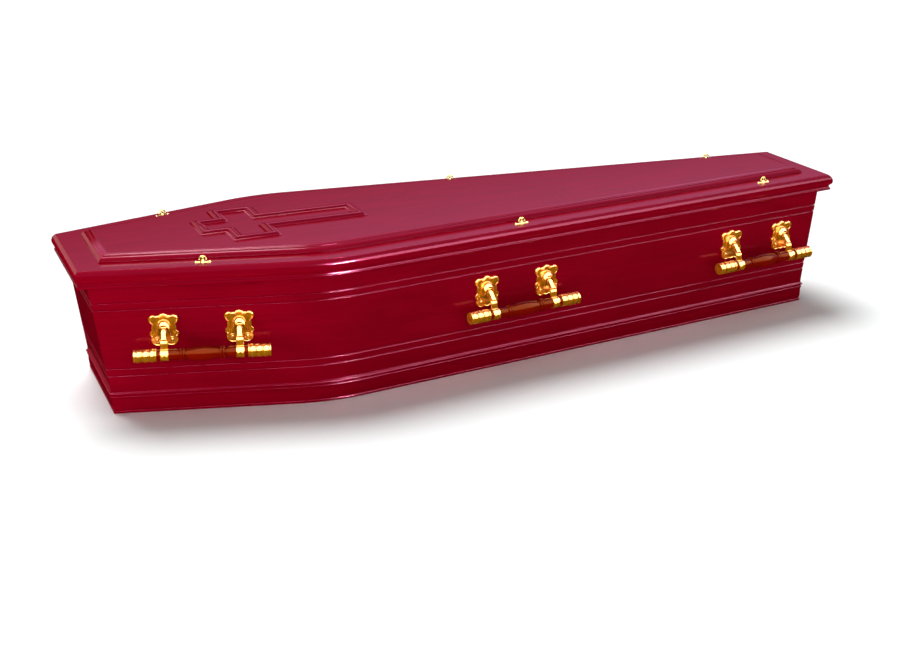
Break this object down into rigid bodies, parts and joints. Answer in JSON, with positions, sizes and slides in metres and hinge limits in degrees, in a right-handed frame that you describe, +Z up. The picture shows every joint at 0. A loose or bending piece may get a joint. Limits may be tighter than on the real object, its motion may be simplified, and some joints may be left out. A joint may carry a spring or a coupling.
{
  "type": "wooden coffin",
  "caption": "Lacquered shouldered wooden coffin, its raised lid held by thumbscrews and bearing a moulded cross, with swing-bar handles along both sides and a plinth moulding.",
  "frame": {"origin": "middle of the underside, where the coffin rests", "axes": "+X from the head end to the foot end, +Z up, -Y towards the occupant's right side"},
  "size_m": [2, 0.6242, 0.3709],
  "materials": {
    "lacquered_wood": "high-gloss crimson lacquer over fine-grained veneer",
    "gilt_metal": "polished gilt",
    "turned_wood": "gloss red-brown stain on turned wood"
  },
  "bodies": {
    "coffin": {"base_board": "lacquered_wood", "head_board": "lacquered_wood", "foot_board": "lacquered_wood", "side_board_right": "lacquered_wood", "side_board_left": "lacquered_wood", "plinth_right": "lacquered_wood", "plinth_left": "lacquered_wood", "plinth_head": "lacquered_wood", "plinth_foot": "lacquered_wood", "lid_board": "lacquered_wood", "lid_edge_right": "lacquered_wood", "lid_edge_left": "lacquered_wood", "lid_edge_head": "lacquered_wood", "lid_edge_foot": "lacquered_wood", "lid_raised_panel": "lacquered_wood", "lid_cross": "lacquered_wood", "screw_plate_right_head": "gilt_metal", "thumbscrew_right_head": "gilt_metal", "handle_plate_right_head_a": "gilt_metal", "handle_plate_right_head_b": "gilt_metal", "screw_plate_right_mid": "gilt_metal", "thumbscrew_right_mid": "gilt_metal", "handle_plate_right_mid_a": "gilt_metal", "handle_plate_right_mid_b": "gilt_metal", "screw_plate_right_foot": "gilt_metal", "thumbscrew_right_foot": "gilt_metal", "handle_plate_right_foot_a": "gilt_metal", "handle_plate_right_foot_b": "gilt_metal", "screw_plate_left_head": "gilt_metal", "thumbscrew_left_head": "gilt_metal", "handle_plate_left_head_a": "gilt_metal", "handle_plate_left_head_b": "gilt_metal", "screw_plate_left_mid": "gilt_metal", "thumbscrew_left_mid": "gilt_metal", "handle_plate_left_mid_a": "gilt_metal", "handle_plate_left_mid_b": "gilt_metal", "screw_plate_left_foot": "gilt_metal", "thumbscrew_left_foot": "gilt_metal", "handle_plate_left_foot_a": "gilt_metal", "handle_plate_left_foot_b": "gilt_metal"},
    "handle_right_head": {"handle_arm_right_head_a": "gilt_metal", "handle_arm_right_head_b": "gilt_metal", "handle_bar_right_head": "turned_wood"},
    "handle_right_mid": {"handle_arm_right_mid_a": "gilt_metal", "handle_arm_right_mid_b": "gilt_metal", "handle_bar_right_mid": "turned_wood"},
    "handle_right_foot": {"handle_arm_right_foot_a": "gilt_metal", "handle_arm_right_foot_b": "gilt_metal", "handle_bar_right_foot": "turned_wood"},
    "handle_left_head": {"handle_arm_left_head_a": "gilt_metal", "handle_arm_left_head_b": "gilt_metal", "handle_bar_left_head": "turned_wood"},
    "handle_left_mid": {"handle_arm_left_mid_a": "gilt_metal", "handle_arm_left_mid_b": "gilt_metal", "handle_bar_left_mid": "turned_wood"},
    "handle_left_foot": {"handle_arm_left_foot_a": "gilt_metal", "handle_arm_left_foot_b": "gilt_metal", "handle_bar_left_foot": "turned_wood"}
  },
  "joints": [
    {"name": "lift_right_head", "type": "hinge", "parent": "coffin", "child": "handle_right_head", "pos_m": [-0.73906, -0.22123, 0.204], "axis": [-0.9619, 0.2734, 0], "range_deg": [0, 60]},
    {"name": "lift_right_mid", "type": "hinge", "parent": "coffin", "child": "handle_right_mid", "pos_m": [0.03421, -0.24366, 0.204], "axis": [-0.9937, -0.112, 0], "range_deg": [0, 60]},
    {"name": "lift_right_foot", "type": "hinge", "parent": "coffin", "child": "handle_right_foot", "pos_m": [0.76971, -0.16074, 0.204], "axis": [-0.9937, -0.112, 0], "range_deg": [0, 60]},
    {"name": "lift_left_head", "type": "hinge", "parent": "coffin", "child": "handle_left_head", "pos_m": [-0.73906, 0.22123, 0.204], "axis": [0.9619, 0.2734, 0], "range_deg": [0, 60]},
    {"name": "lift_left_mid", "type": "hinge", "parent": "coffin", "child": "handle_left_mid", "pos_m": [0.03421, 0.24366, 0.204], "axis": [0.9937, -0.112, 0], "range_deg": [0, 60]},
    {"name": "lift_left_foot", "type": "hinge", "parent": "coffin", "child": "handle_left_foot", "pos_m": [0.76971, 0.16074, 0.204], "axis": [0.9937, -0.112, 0], "range_deg": [0, 60]}
  ]
}
